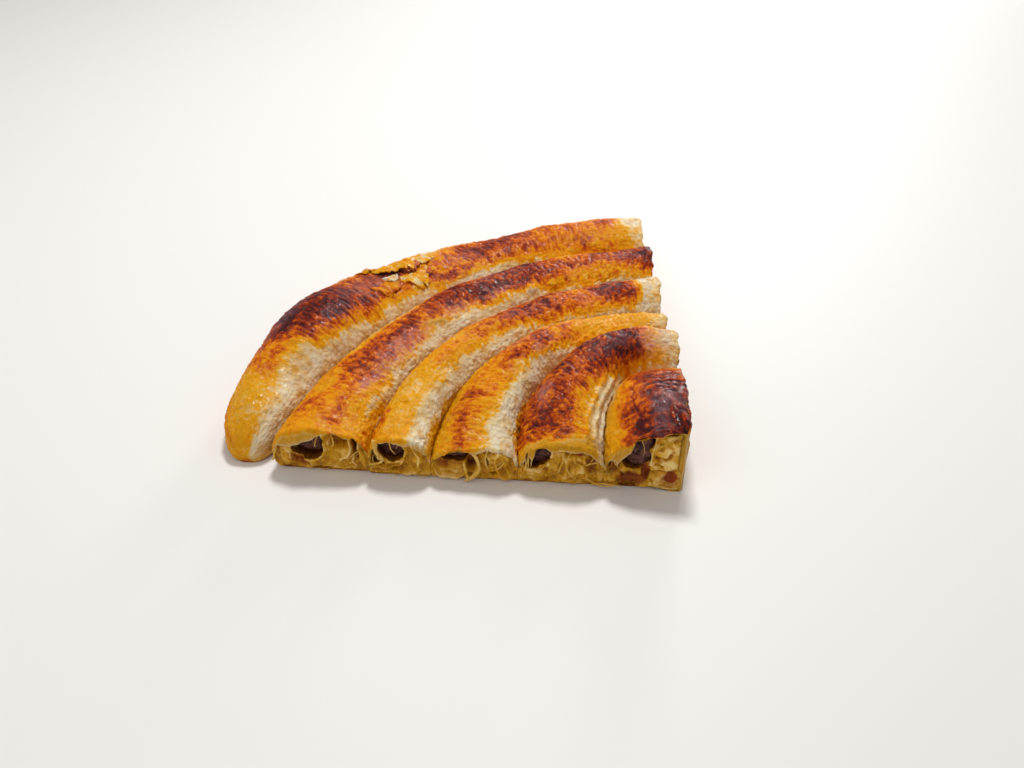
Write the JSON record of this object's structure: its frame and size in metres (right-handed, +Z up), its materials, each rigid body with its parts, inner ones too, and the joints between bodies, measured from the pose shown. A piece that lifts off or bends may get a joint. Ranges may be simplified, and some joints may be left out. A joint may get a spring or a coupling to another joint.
{
  "type": "meat burek quarter",
  "caption": "Quarter of a round coiled meat pie: rolls of thin browned pastry curl side by side round its point, and minced meat shows in each at the straight cuts.",
  "frame": {"origin": "centre of the bounding box's underside, on the surface that the piece rests on", "axes": "+Z up; +X along the front cut towards the point of the quarter, whose two straight cuts face -Y and +X; +Y away from the front cut"},
  "size_m": [0.1872, 0.19, 0.0333],
  "materials": {
    "crust": "satin",
    "meat": "satin",
    "dough": "satin"
  },
  "bodies": {
    "root": {"roll_1": "crust", "roll_2": "crust", "roll_3": "crust", "roll_4": "crust", "roll_5": "crust", "roll_6": "crust", "filling_1": "meat", "filling_2": "meat", "filling_3": "meat", "filling_4": "meat", "filling_5": "meat", "filling_6": "meat"}
  },
  "joints": []
}
